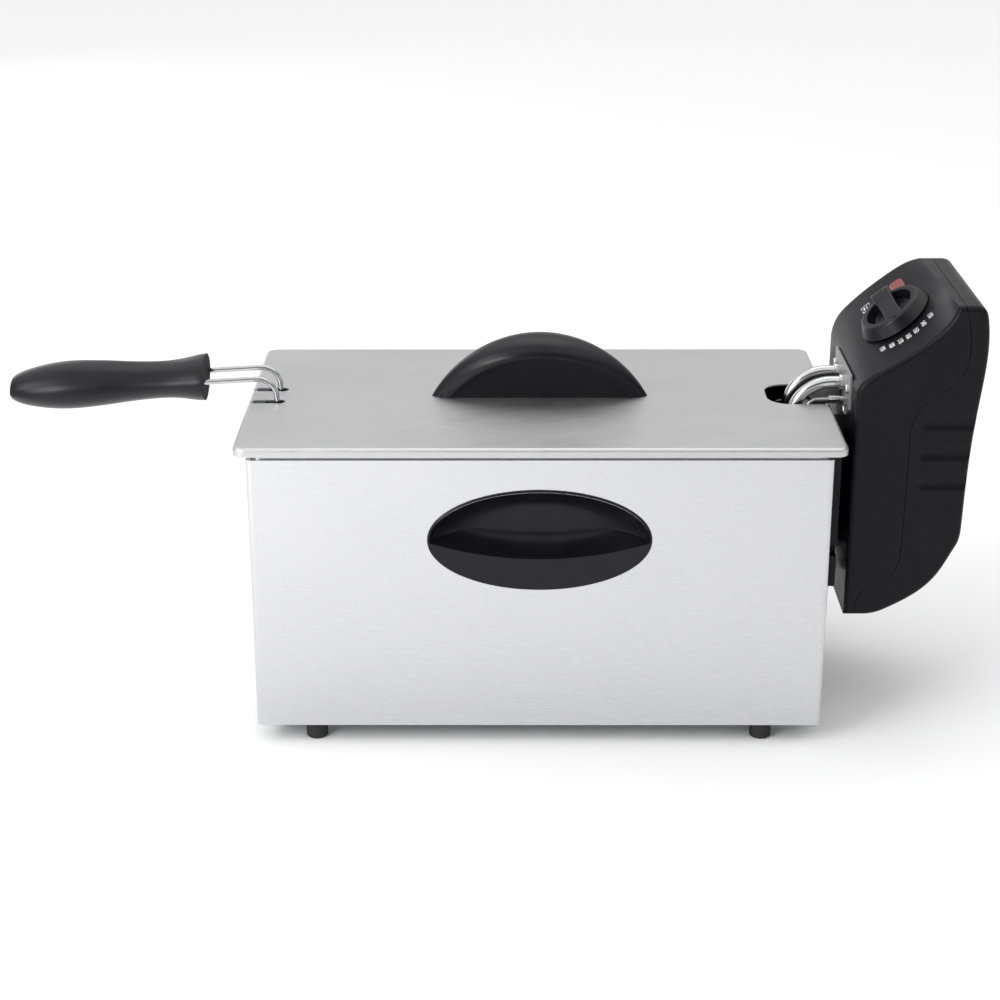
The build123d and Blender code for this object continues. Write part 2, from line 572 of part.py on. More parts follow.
def head_inlet_places():
    """Holes in the head's inner face: two heating tubes and the sensor's capillary."""
    return [(TUBE_Y, TUBE_Z, TUBE_RADIUS + 0.6), (-TUBE_Y, TUBE_Z, TUBE_RADIUS + 0.6),
            (SLEEVE_Y, SLEEVE_Z, SLEEVE_RADIUS + 0.2)]


def cover_screw_places():
    return [(0.0, 62.0), (-17.1, 160.2), (17.1, 160.2)]


def grip_groove(z):
    """Finger groove across one side of the rear cover: a long scoop with a round inner end."""
    radius, depth = 9.0, 1.9
    centre_y = -HEAD_HALF_WIDTH - radius + depth
    inner_end = GROOVE_START_X + 5.5
    scoop = bar_x(inner_end, HEAD_END_X + 8, centre_y, z, radius)
    return scoop + Pos(inner_end, centre_y, z) * Sphere(radius)


def make_head_rear_cover():
    cover = head_walls()
    for side in (-1, 1):
        backing_y = side * (HEAD_HALF_WIDTH - HEAD_WALL - 0.5)
        cover += Pos(0, backing_y, 0) * block(204, 230, -1, 1, GROOVE_TOP_Z - 43, GROOVE_TOP_Z + 9)
    cover -= seam_region(SEAM_GAP)
    for index in range(3):
        groove = grip_groove(GROOVE_TOP_Z - index * GROOVE_PITCH)
        cover -= groove
        cover -= mirror(groove, Plane.XZ)
    for y, z in cover_screw_places():
        boss = bar_x(HEAD_LEFT_X + HEAD_WALL + 0.1, boss_end(z), y, z, 4.0)
        cover += boss - bar_x(HEAD_LEFT_X, HEAD_LEFT_X + 14, y, z, 1.55)
    cover -= bar_y(RESET_X, 50, 60, RESET_Z, RESET_RADIUS + 0.3)
    cover -= bar_y(GLAND_X, 45, 60, GLAND_Z, GLAND_RADIUS + 0.05)
    return cover


def boss_end(z):
    """Where a screw boss meets the rear cover's wall."""
    return 197.0 if z < 100 else 235.0


def make_cover_screws():
    screw = Rot(0, -90, 0) * pan_screw(1.5, 12.0, 3.0, 2.0)
    return [Pos(HEAD_LEFT_X, y, z) * screw for y, z in cover_screw_places()]


# ---------------------------------------------------------------- control head, metal and heater

def make_mounting_plate():
    x0 = HEAD_LEFT_X - 1.0
    plate = block(x0, HEAD_LEFT_X, PLATE_FRONT_Y, PLATE_BACK_Y, PLATE_BOTTOM_Z, PLATE_TOP_Z)
    plate += block(x0, HEAD_LEFT_X, SLEEVE_Y - 3.2, SLEEVE_Y + 3.2, SLEEVE_Z - 2.8, PLATE_BOTTOM_Z + 1)
    for y, z, radius in head_inlet_places():
        plate -= bar_x(x0 - 1, HEAD_LEFT_X + 1, y, z, radius)
    for y, z in plate_screw_places():
        plate -= bar_x(x0 - 1, HEAD_LEFT_X + 1, y, z, 1.3)
    return plate


def plate_screw_places():
    return [(-29.0, 176.5), (18.3, 177.5)]


def make_plate_screws():
    screw = Rot(0, -90, 0) * pan_screw(1.25, 7.0, 2.4, 1.7)
    return [Pos(HEAD_LEFT_X - 1.0, y, z) * screw for y, z in plate_screw_places()]


def element_route():
    """Centre line of the heating tube: out of the head, down into the pan and round three loops."""
    near, far, outer, inner = 118.0, -120.0, 46.0, 17.0
    half = [(186.0, TUBE_Y, TUBE_Z), (TUBE_DROP_X, TUBE_Y, TUBE_Z), (TUBE_DROP_X, TUBE_Y, ELEMENT_Z),
            (near, TUBE_Y, ELEMENT_Z), (near, outer, ELEMENT_Z), (far, outer, ELEMENT_Z),
            (far, inner, ELEMENT_Z), (near - 24, inner, ELEMENT_Z)]
    bends = [22, 12, 10, 14, 14, 14, 14]
    other = [(x, -y, z) for x, y, z in reversed(half)]
    return half + other, bends + bends[::-1]


def make_heating_element():
    points, bends = element_route()
    return wire_rod(points, bends, TUBE_RADIUS)


def make_element_bushes():
    """Brazed collars where the tubes pass through the mounting plate."""
    x0, x1 = HEAD_LEFT_X - 3.4, HEAD_LEFT_X - 1.0
    bushes = []
    for side in (-1, 1):
        hole = bar_x(x0 - 1, x1 + 1, side * TUBE_Y, TUBE_Z, TUBE_RADIUS + 0.05)
        bushes.append(bar_x(x0, x1, side * TUBE_Y, TUBE_Z, 4.5) - hole)
    return bushes


def make_element_terminals():
    """Blade tabs on the heating tube's two ends, inside the head."""
    tabs = []
    for side in (-1, 1):
        pin = bar_x(186.0, 192.0, side * TUBE_Y, TUBE_Z, 1.4)
        tabs.append(pin + block(191.0, 200.0, side * TUBE_Y - 0.4, side * TUBE_Y + 0.4,
                                TUBE_Z - 3.1, TUBE_Z + 3.1))
    return tabs


def make_element_clamp():
    """Flat strap under the loops that keeps their spacing."""
    low = ELEMENT_Z - TUBE_RADIUS - 1.25
    strap = block(-65, -55, -52, 52, low, low + 1.2)
    for y in (-46.0, -17.0, 17.0, 46.0):
        for side in (-1, 1):
            lug = block(-65, -55, -0.6, 0.6, low, ELEMENT_Z + 1)
            strap += Pos(0, y + side * (TUBE_RADIUS + 0.75), 0) * lug
    return strap


def make_rim_hook():
    """Bent bracket that carries the head on the pan's rim."""
    top = RIM_TOP_Z + 0.4
    over = block(152, HEAD_LEFT_X - 1, -13, 13, top, top + 1.5)
    leg = block(145.6, 152, -5.5, 5.5, top, top + 1.5) + block(145.6, 147.1, -5.5, 5.5, 137, top + 1.5)
    back = block(HEAD_LEFT_X - 2.5, HEAD_LEFT_X - 1, -5.5, 5.5, top, TUBE_Z - 1)
    return over + leg + back


def make_capillary_sensor():
    """Sensor bulb over the element, its thin capillary and the sleeve that guards it at the plate."""
    bulb_z = ELEMENT_Z + TUBE_RADIUS + 3.9
    points = [(186.0, SLEEVE_Y, SLEEVE_Z), (150.0, SLEEVE_Y, SLEEVE_Z - 0.6),
              (CAPILLARY_DROP_X, CAPILLARY_DROP_Y, 151.0), (CAPILLARY_DROP_X, CAPILLARY_DROP_Y, 112.0),
              (CAPILLARY_DROP_X, 0, 98.0), (CAPILLARY_DROP_X, 0, bulb_z), (58.0, 0, bulb_z)]
    capillary = wire_rod(points, [7, 9, 8, 8, 10], CAPILLARY_RADIUS)
    bulb = bar_x(0, 60, 0, bulb_z, 2.6)
    sleeve = bar_x(161.0, HEAD_LEFT_X + 4, SLEEVE_Y, SLEEVE_Z, SLEEVE_RADIUS)
    return capillary + bulb + sleeve


def make_sensor_clip():
    """Bridge across the two middle loops that holds the bulb."""
    seat = ELEMENT_Z + TUBE_RADIUS + 0.05
    clip = block(22, 34, -21.5, 21.5, seat, seat + 1.1)
    for side in (-1, 1):
        clip += Pos(0, side * 21.0, 0) * block(22, 34, -0.5, 0.5, ELEMENT_Z - 2, seat + 1.1)
        clip += Pos(0, side * 3.3, 0) * block(22, 34, -0.5, 0.5, seat, seat + 4.5)
    return clip


# ---------------------------------------------------------------- control head, electrical parts

def make_thermostat_body():
    top = -HEAD_WALL - 1.9
    body = on_panel(0, 0, top - 8, Cylinder(16.5, 16)) + on_panel(0, 0, top + 0.2, Cylinder(5.2, 2.0))
    body += on_panel(0, 0, top - 1.4, Box(38, 20, 1.4))
    for side in (-1, 1):
        body += on_panel(side * 8, 0, top - 20, Box(0.8, 6.3, 9))
    return body - on_panel(0, 0, top - 2, Cylinder(SHAFT_RADIUS + 0.05, 16))


def make_knob_shaft():
    low, high = -11.0, KNOB_GAP + 6.2
    shaft = on_panel(0, 0, (low + high) / 2, Cylinder(SHAFT_RADIUS, high - low))
    return shaft - on_panel(SHAFT_RADIUS + 0.1, 0, high - 4, Box(2, 8, 9))


def bar_side(lift):
    """Side profile of the knob's grip bar, raised by lift: high at the back, falling to the pointer."""
    top = [(14.8, KNOB_BAR_HEIGHT - 1.7), (12.0, KNOB_BAR_HEIGHT), (4.0, 9.9), (-5.0, 7.6),
           (-12.0, KNOB_RIM_HEIGHT + 0.2), (-15.6, KNOB_RIM_HEIGHT - 0.6)]
    top = [(y, z + lift) for y, z in top]
    with BuildSketch(Plane.YZ.offset(-8)) as profile:
        with BuildLine():
            Spline(*top)
            Polyline(top[-1], (-15.6, 0.5), (15.6, 0.5), top[0])
        make_face()
    return extrude(profile.sketch, 16)


def bar_plan():
    """Waisted outline of the grip bar, wider at its back end."""
    with BuildSketch() as plan:
        with BuildLine():
            ThreePointArc((-6.6, 18), (-4.7, 0), (-6.0, -18))
            Line((-6.0, -18), (6.0, -18))
            ThreePointArc((6.0, -18), (4.7, 0), (6.6, 18))
            Line((6.6, 18), (-6.6, 18))
        make_face()
    return extrude(plan.sketch, 20)


def make_thermostat_knob():
    """Dished knob: two scooped hollows either side of a grip bar that slopes down to the pointer."""
    skirt = extrude(Circle(KNOB_RADIUS), KNOB_RIM_HEIGHT, taper=29)
    skirt = fillet(skirt.faces().sort_by(Axis.Z)[-1].edges(), 1.7)
    hollow = Pos(0, 0, KNOB_FLOOR + 4) * Cone(11.2, 16.2, 8)
    hollow = fillet(hollow.faces().sort_by(Axis.Z)[0].edges(), 2.2)
    bar = bar_side(0) & bar_plan()
    bar = fillet([edge for edge in bar.edges() if edge.length > 25 and edge.center().Z > 6], 0.8)
    bar &= Pos(0, 0, 10) * Cylinder(KNOB_RADIUS - 5.2, 30)
    pointer = bar_side(0.8) & block(-1.2, 1.2, -15.2, -3.0, 1, 20)
    knob = (skirt - hollow) + bar + pointer
    knob -= Pos(0, 0, 3.2) * Cylinder(SHAFT_RADIUS + 0.02, 6.4)
    knob = Rot(0, 0, KNOB_POINTER_ANGLE + 90) * knob
    return on_panel(0, 0, KNOB_GAP, knob)


def make_indicator_lens():
    """Domed red lens with a stem through the panel."""
    cap = extrude(RectangleRounded(8.2, 12.4, 2.6), 3.2)
    cap = fillet(cap.faces().sort_by(Axis.Z)[-1].edges(), 1.2)
    stem = Pos(0, 0, -2.6) * extrude(RectangleRounded(6.0, 9.8, 2.5), 2.6)
    return on_panel(LENS_ALONG, LENS_ACROSS, 0.75, cap + Pos(0, 0, -0.7) * stem + stem)


def make_indicator_lamp():
    """Neon lamp behind the lens."""
    lamp = Pos(0, 0, -11.5) * Cylinder(2.6, 13)
    return on_panel(LENS_ALONG, LENS_ACROSS, 0, lamp)


def make_safety_cutout():
    body = bar_y(RESET_X, 32, 44, RESET_Z, 8.5)
    body += block(RESET_X - 12, RESET_X + 12, 44, 45.2, RESET_Z - 6, RESET_Z + 6)
    for side in (-1, 1):
        body += Pos(RESET_X + side * 4.5, 28, RESET_Z) * Box(0.8, 8.2, 6.3)
    return body


def make_reset_button():
    """Push button of the safety cut-out, in a hole on the back of the rear cover."""
    cap = bar_y(RESET_X, HEAD_HALF_WIDTH - 5, HEAD_HALF_WIDTH + 1.2, RESET_Z, RESET_RADIUS)
    cap = fillet(cap.faces().sort_by(Axis.Y)[-1].edges(), 0.6)
    flange = bar_y(RESET_X, HEAD_HALF_WIDTH - 5, HEAD_HALF_WIDTH - 4, RESET_Z, RESET_RADIUS + 1.2)
    return cap + flange + bar_y(RESET_X, HEAD_HALF_WIDTH - 6.4, HEAD_HALF_WIDTH - 5, RESET_Z, 2.2)


def make_interlock_switch():
    """Micro-switch that cuts the power when the head is off its rail."""
    x0 = PLUNGER_END_X + 0.2
    return block(x0, x0 + 10, -14, 14, PLUNGER_Z - 5, PLUNGER_Z + 5)


def make_interlock_plunger():
    """Pin that the guide rail's stop block pushes in."""
    tip = HOUSING_END_X + 10 + PLUNGER_GAP
    pin = bar_x(tip, PLUNGER_END_X, 0, PLUNGER_Z, PLUNGER_RADIUS)
    pin = fillet(pin.faces().sort_by(Axis.X)[0].edges(), 0.8)
    collar_x = HEAD_LEFT_X + HEAD_WALL + PLUNGER_TRAVEL + 0.3
    return pin + bar_x(collar_x, collar_x + 1.2, 0, PLUNGER_Z, PLUNGER_RADIUS + 1.4)


def make_terminal_block():
    block_body = block(189.5, 204, -22, 22, 78, 92)
    for y in (-14.0, 0.0, 14.0):
        block_body -= pillar(196.5, y, 86, 94, 2.4)
    return block_body


def make_cord_gland():
    """Flanged bush for the mains lead in the back of the rear cover."""
    inner_y = HEAD_HALF_WIDTH - HEAD_WALL
    gland = bar_y(GLAND_X, inner_y - 6, HEAD_HALF_WIDTH + 4, GLAND_Z, GLAND_RADIUS)
    gland += bar_y(GLAND_X, HEAD_HALF_WIDTH, HEAD_HALF_WIDTH + 4, GLAND_Z, GLAND_RADIUS + 2)
    gland += bar_y(GLAND_X, inner_y - 3, inner_y, GLAND_Z, GLAND_RADIUS + 1.5)
    return gland - bar_y(GLAND_X, inner_y - 10, HEAD_HALF_WIDTH + 10, GLAND_Z, GLAND_BORE_RADIUS)


def make_internal_leads():
    """Insulated leads between the terminal block, the cut-out, the thermostat and the element."""
    routes = [
        [(196.5, 14, 94.2), (196.5, 14, 112), (214, 20, 118), (RESET_X + 4.5, 21, RESET_Z)],
        [(196.5, 0, 94.2), (196.5, 0, 150), (203.5, TUBE_Y, 160), (203.5, TUBE_Y, TUBE_Z)],
        [(196.5, -14, 94.2), (196.5, -14, 140), (203.5, -TUBE_Y, 160), (203.5, -TUBE_Y, TUBE_Z)],
    ]
    return [wire_rod(route, 6, 1.3) for route in routes]


def save(name, shape):
    """Move a piece into the row frame and write it as one STEP file."""
    pieces = shape if isinstance(shape, list) else [shape]
    solids = [solid for piece in pieces for solid in piece.solids()]
    moved = [Pos(ROW_SHIFT_X, 0, FOOT_HEIGHT) * solid for solid in solids]
    whole = moved[0] if len(moved) == 1 else Compound(children=moved)
    export_step(whole, os.path.join("parts", name + ".step"))


PIECES = [
    make_housing_shell, make_base_plate, make_rubber_feet, make_foot_screws, make_foot_nuts,
    make_side_grip_front, make_side_grip_rear, make_guide_rail, make_guide_rail_screws,
    make_oil_pan,
    make_head_front_shell, make_head_rear_cover, make_cover_screws, make_mounting_plate, make_plate_screws,
    make_heating_element, make_element_bushes, make_element_terminals, make_element_clamp, make_rim_hook,
    make_capillary_sensor, make_sensor_clip, make_thermostat_body, make_indicator_lens, make_indicator_lamp,
    make_safety_cutout, make_interlock_switch, make_terminal_block, make_cord_gland, make_internal_leads,
    make_knob_shaft, make_thermostat_knob, make_reset_button, make_interlock_plunger,
    make_basket_mesh, make_basket_rim, make_basket_supports, make_drain_hooks, make_handle_wires,
    make_basket_grip,
    make_lid_panel, make_lid_handle, make_lid_handle_screws, make_lid_handle_washers,
]


def main():
    os.makedirs("parts", exist_ok=True)
    for make in PIECES:
        save(make.__name__.removeprefix("make_"), make())


main()
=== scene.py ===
"""Looks of the deep fryer: materials, woven wire basket, dial markings, light and camera.

Positions are written in millimetres in the housing's own frame, as the CAD source has them, and
housing() moves them into the row frame in metres.
"""
import json
from math import cos, hypot, pi, radians, sin

import bpy
from mathutils import Matrix, Vector
from mathutils.bvhtree import BVHTree


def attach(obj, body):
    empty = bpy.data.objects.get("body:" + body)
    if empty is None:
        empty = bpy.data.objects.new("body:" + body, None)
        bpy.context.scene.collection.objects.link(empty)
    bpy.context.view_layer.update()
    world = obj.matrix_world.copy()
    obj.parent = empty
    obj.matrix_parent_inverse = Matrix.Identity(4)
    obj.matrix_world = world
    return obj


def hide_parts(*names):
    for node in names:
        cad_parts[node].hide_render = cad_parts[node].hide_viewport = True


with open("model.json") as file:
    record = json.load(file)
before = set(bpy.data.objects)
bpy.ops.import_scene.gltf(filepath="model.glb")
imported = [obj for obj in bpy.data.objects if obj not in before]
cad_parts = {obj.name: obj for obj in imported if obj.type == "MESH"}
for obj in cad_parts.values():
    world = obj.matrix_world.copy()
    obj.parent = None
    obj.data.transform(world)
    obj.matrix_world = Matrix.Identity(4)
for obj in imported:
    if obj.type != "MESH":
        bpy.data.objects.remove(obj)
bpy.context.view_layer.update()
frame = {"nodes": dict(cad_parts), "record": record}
NODES = frame["nodes"]

MM = 0.001
HOUSING_ORIGIN = Vector((28.0, 0.0, 10.8))


def housing(x, y, z):
    """A point given in the housing's frame in mm, as a point of the row frame in metres."""
    return (Vector((x, y, z)) + HOUSING_ORIGIN) * MM


# ---------------------------------------------------------------- materials

END_MATTNESS = 0.45


class Paint:
    """A material being built: one Principled shader and the nodes that feed it."""

    def __init__(self, name, colour, metallic=0.0, roughness=0.5, **sockets):
        self.material = bpy.data.materials.new(name)
        self.material.use_nodes = True
        self.tree = self.material.node_tree
        self.shader = self.tree.nodes["Principled BSDF"]
        self.colour = (*colour, 1.0)
        self.set("Base Color", self.colour)
        self.set("Metallic", metallic)
        self.set("Roughness", roughness)
        for key, value in sockets.items():
            self.set(key.replace("_", " "), value)
        self.coordinates = self.tree.nodes.new("ShaderNodeTexCoord").outputs["Object"]

    def set(self, socket, value):
        self.shader.inputs[socket].default_value = value

    def node(self, kind, sockets=None, **settings):
        made = self.tree.nodes.new("ShaderNode" + kind)
        for key, value in settings.items():
            setattr(made, key, value)
        for key, value in (sockets or {}).items():
            if isinstance(value, bpy.types.NodeSocket):
                self.tree.links.new(value, made.inputs[key])
            else:
                made.inputs[key].default_value = value
        return made

    def drive(self, socket, output):
        self.tree.links.new(output, self.shader.inputs[socket])

    def noise(self, size, stretch=(1, 1, 1), detail=3.0, contrast=0.5):
        """Noise whose features are about size metres, longer along the stretched axes."""
        scale = tuple(1 / (size * s) for s in stretch)
        place = self.node("Mapping", {"Vector": self.coordinates, "Scale": scale})
        return self.node("TexNoise", {"Vector": place.outputs[0], "Scale": 1.0, "Detail": detail,
                                      "Roughness": contrast}).outputs["Fac"]

    def range(self, value, low, high, start=0.3, end=0.7):
        return self.node("MapRange", {"Value": value, "From Min": start, "From Max": end,
                                      "To Min": low, "To Max": high}).outputs[0]

    def shade(self, value, dark, light, start=0.3, end=0.7):
        """Base colour that runs from dark to light times the material's own colour."""
        mix = self.node("MixRGB", {0: self.range(value, 0, 1, start, end),
                                   1: tuple(c * dark for c in self.colour[:3]) + (1,),
                                   2: tuple(min(1, c * light) for c in self.colour[:3]) + (1,)})
        self.drive("Base Color", mix.outputs[0])
        return mix

    def bump(self, height, strength, depth):
        """Relief of depth metres; a second call adds on top of the first."""
        sockets = {"Height": height, "Strength": strength, "Distance": depth}
        if self.shader.inputs["Normal"].is_linked:
            sockets["Normal"] = self.shader.inputs["Normal"].links[0].from_socket
        self.drive("Normal", self.node("Bump", sockets).outputs[0])

    def worn_and_highlit_edges(self, width, mix, colour):
        """Blend the base colour towards colour along edges sharper than width metres: partly rubbed wear,
        partly a painted edge highlight.
        """
        bevel = self.node("Bevel", {"Radius": width}, samples=4)
        flat = self.node("NewGeometry").outputs["Normal"]
        dot = self.node("VectorMath", {0: bevel.outputs[0], 1: flat},
                        operation="DOT_PRODUCT").outputs["Value"]
        spots = self.range(self.noise(0.006, detail=5), 0.35, 1.0)
        # the paler edge band is partly rubbed wear and partly a painted highlight where edges catch the
        # light
        edge = self.range(dot, 1, 0, 0.8, 0.985)
        amount = self.node("Math", {0: edge, 1: spots}, operation="MULTIPLY").outputs[0]
        amount = self.node("Math", {0: amount, 1: mix}, operation="MULTIPLY").outputs[0]
        base = self.shader.inputs["Base Color"]
        below = base.links[0].from_socket if base.is_linked else self.colour
        mixed = self.node("MixRGB", {0: amount, 1: below, 2: (*colour, 1)})
        self.drive("Base Color", mixed.outputs[0])


def brushed(name, colour, roughness, grain_length=0.06, smudge=0.07, relief=1.0):
    """Sheet steel with a level brushed grain, faint scratches and handling smudges."""
    paint = Paint(name, colour, 1.0, roughness)
    along_x = paint.noise(0.0005, (grain_length / 0.0005, 1, 1), 4, 0.7)
    along_y = paint.noise(0.0005, (1, grain_length / 0.0005, 1), 4, 0.7)
    normal = paint.node("SeparateXYZ", {0: paint.node("NewGeometry").outputs["Normal"]}).outputs["X"]
    facing = paint.node("Math", {0: normal}, operation="ABSOLUTE").outputs[0]
    grain = paint.node("MixRGB", {0: paint.range(facing, 0, 1, 0.6, 0.8), 1: along_x, 2: along_y}).outputs[0]
    smudges = paint.noise(0.05, detail=4, contrast=0.6)
    wide = paint.node("Math", {0: paint.range(smudges, 0, smudge), 1: paint.range(grain, -0.05, 0.07)},
                      operation="ADD").outputs[0]
    rough = paint.node("Math", {0: wide, 1: roughness}, operation="ADD", use_clamp=True).outputs[0]
    paint.drive("Roughness", rough)
    paint.shade(grain, 0.975, 1.015)
    paint.bump(grain, 0.10 * relief, 0.00006)
    # paler edges: partly rubbed wear, partly painted edge highlight
    paint.worn_and_highlit_edges(0.0008, 0.35, (0.92, 0.92, 0.93))
    return paint


def moulded(name, colour, roughness, grain=0.0005, relief=0.12, edge_wear_and_highlight=0.25, **sockets):
    """Moulded plastic: fine spark grain, slightly uneven sheen, edges paler from wear and painted highlight,
    matter flat ends.
    """
    paint = Paint(name, colour, 0.0, roughness, **sockets)
    texture = paint.noise(grain, detail=2)
    sheen = paint.range(paint.noise(0.03, detail=4, contrast=0.6), roughness - 0.05, roughness + 0.07)
    level = paint.node("SeparateXYZ", {0: paint.node("NewGeometry").outputs["Normal"]}).outputs["X"]
    flat_end = paint.range(level, 0, END_MATTNESS, 0.9, 0.98)
    paint.drive("Roughness", paint.node("Math", {0: sheen, 1: flat_end}, operation="ADD").outputs[0])
    paint.shade(paint.noise(0.012, detail=5), 0.85, 1.2)
    paint.bump(texture, relief, 0.00005)
    # edges lightened: partly rubbed wear, partly painted highlight
    paint.worn_and_highlit_edges(0.0007, edge_wear_and_highlight, tuple(min(1, 3.2 * c + 0.02) for c in colour))
    return paint


def drawn_wire(name, colour, roughness):
    """Bright drawn wire: faint lengthwise die lines cannot follow every bend, so they are fine noise."""
    paint = Paint(name, colour, 1.0, roughness)
    marks = paint.noise(0.0012, detail=5, contrast=0.65)
    paint.drive("Roughness", paint.range(paint.noise(0.01, detail=4), roughness * 0.7, roughness * 1.6))
    paint.shade(marks, 0.88, 1.05)
    paint.bump(marks, 0.06, 0.00004)
    return paint


def galvanised(name, colour):
    """Zinc-coated sheet with crystal spangle."""
    paint = Paint(name, colour, 0.85, 0.45)
    cells = paint.node("TexVoronoi", {"Vector": paint.coordinates, "Scale": 160.0, "Randomness": 1.0})
    spangle = paint.node("SeparateColor", {0: cells.outputs["Color"]}).outputs[0]
    paint.shade(spangle, 0.75, 1.15, 0, 1)
    paint.drive("Roughness", paint.range(spangle, 0.34, 0.55, 0, 1))
    paint.bump(paint.noise(0.0008, detail=3), 0.08, 0.00005)
    return paint


def heated_tube(name):
    """Polished element tube, with a straw heat tint on the loops that lie in the oil."""
    paint = Paint(name, (0.56, 0.56, 0.565), 1.0, 0.17)
    height = paint.node("SeparateXYZ", {0: paint.coordinates}).outputs["Z"]
    low_down = paint.range(height, 1, 0, 0.05, 0.09)
    patchy = paint.range(paint.noise(0.02, detail=5, contrast=0.6), 0, 1, 0.35, 0.75)
    amount = paint.node("Math", {0: low_down, 1: patchy}, operation="MULTIPLY").outputs[0]
    tint = paint.node("MixRGB", {0: amount, 1: paint.colour, 2: (0.50, 0.42, 0.33, 1)})
    paint.drive("Base Color", tint.outputs[0])
    paint.drive("Roughness", paint.range(paint.noise(0.004, detail=4), 0.12, 0.22))
    paint.bump(paint.noise(0.0007, detail=4), 0.03, 0.00003)
    return paint


def dark_bracket_finish(name):
    """Very dark steel for the bracket, slightly mottled, with bends brightened by rubbed wear and a painted
    edge highlight.
    """
    paint = Paint(name, (0.035, 0.033, 0.034), 0.6, 0.5)
    paint.shade(paint.noise(0.003, detail=5, contrast=0.65), 0.7, 1.4)
    paint.drive("Roughness", paint.range(paint.noise(0.006, detail=4), 0.4, 0.6))
    paint.bump(paint.noise(0.0006, detail=3), 0.15, 0.00004)
    paint.worn_and_highlit_edges(0.0005, 0.4, (0.25, 0.25, 0.26))
    return paint


def zinc_screw(name):
    """Zinc-plated fastener with turning marks and a little dulling."""
    paint = Paint(name, (0.66, 0.66, 0.64), 1.0, 0.3)
    paint.shade(paint.noise(0.0009, detail=5, contrast=0.7), 0.75, 1.1)
    paint.drive("Roughness", paint.range(paint.noise(0.003, detail=4), 0.2, 0.45))
    paint.bump(paint.noise(0.0003, (1, 1, 6), 3), 0.12, 0.00004)
    # paler edges: partly rubbed wear, partly painted edge highlight
    paint.worn_and_highlit_edges(0.0003, 0.4, (0.85, 0.85, 0.84))
    return paint


def rubber(name):
    paint = Paint(name, (0.022, 0.022, 0.023), 0.0, 0.78, Specular_IOR_Level=0.35)
    paint.shade(paint.noise(0.004, detail=5), 0.8, 1.5)
    paint.bump(paint.noise(0.0005, detail=3), 0.35, 0.0001)
    paint.drive("Roughness", paint.range(paint.noise(0.002, detail=3), 0.68, 0.88))
    return paint


def lens(name):
    """Red moulded lens, ribbed inside."""
    paint = Paint(name, (0.27, 0.042, 0.033), 0.0, 0.3, Transmission_Weight=0.25, Coat_Weight=0.2,
                  Coat_Roughness=0.2, IOR=1.49)
    paint.shade(paint.noise(0.003, detail=3), 0.85, 1.25)
    ribs = paint.node("TexWave", {"Vector": paint.coordinates, "Scale": 420.0, "Distortion": 0.2},
                      bands_direction="Y")
    paint.bump(ribs.outputs["Fac"], 0.12, 0.0001)
    paint.drive("Roughness", paint.range(paint.noise(0.0015, detail=3), 0.26, 0.42))
    return paint


def sleeving(name, colour):
    """Woven heat-proof sleeve over the internal leads."""
    paint = Paint(name, colour, 0.0, 0.7, Sheen_Weight=0.2)
    weave = paint.node("TexWave", {"Vector": paint.coordinates, "Scale": 900.0, "Distortion": 1.0},
                       bands_direction="DIAGONAL").outputs["Fac"]
    paint.shade(weave, 0.8, 1.1)
    paint.bump(weave, 0.3, 0.0001)
    return paint


def lamp_glass(name):
    paint = Paint(name, (0.95, 0.78, 0.68), 0.0, 0.05, Transmission_Weight=0.9, IOR=1.5)
    paint.drive("Roughness", paint.range(paint.noise(0.002, detail=3), 0.02, 0.12))
    paint.bump(paint.noise(0.002, detail=2), 0.05, 0.00005)
    return paint


def dial_ink(name):
    """White pad-printed ink, a little thin and rubbed in places."""
    paint = Paint(name, (0.72, 0.72, 0.72), 0.0, 0.55)
    paint.shade(paint.noise(0.0008, detail=4), 0.72, 1.05)
    paint.drive("Roughness", paint.range(paint.noise(0.001, detail=3), 0.45, 0.65))
    paint.bump(paint.noise(0.0002, detail=2), 0.1, 0.00002)
    return paint


def brass(name):
    paint = Paint(name, (0.72, 0.56, 0.3), 1.0, 0.28)
    paint.shade(paint.noise(0.002, detail=5, contrast=0.6), 0.75, 1.1)
    paint.drive("Roughness", paint.range(paint.noise(0.001, detail=4), 0.2, 0.42))
    paint.bump(paint.noise(0.0004, detail=3), 0.08, 0.00004)
    return paint


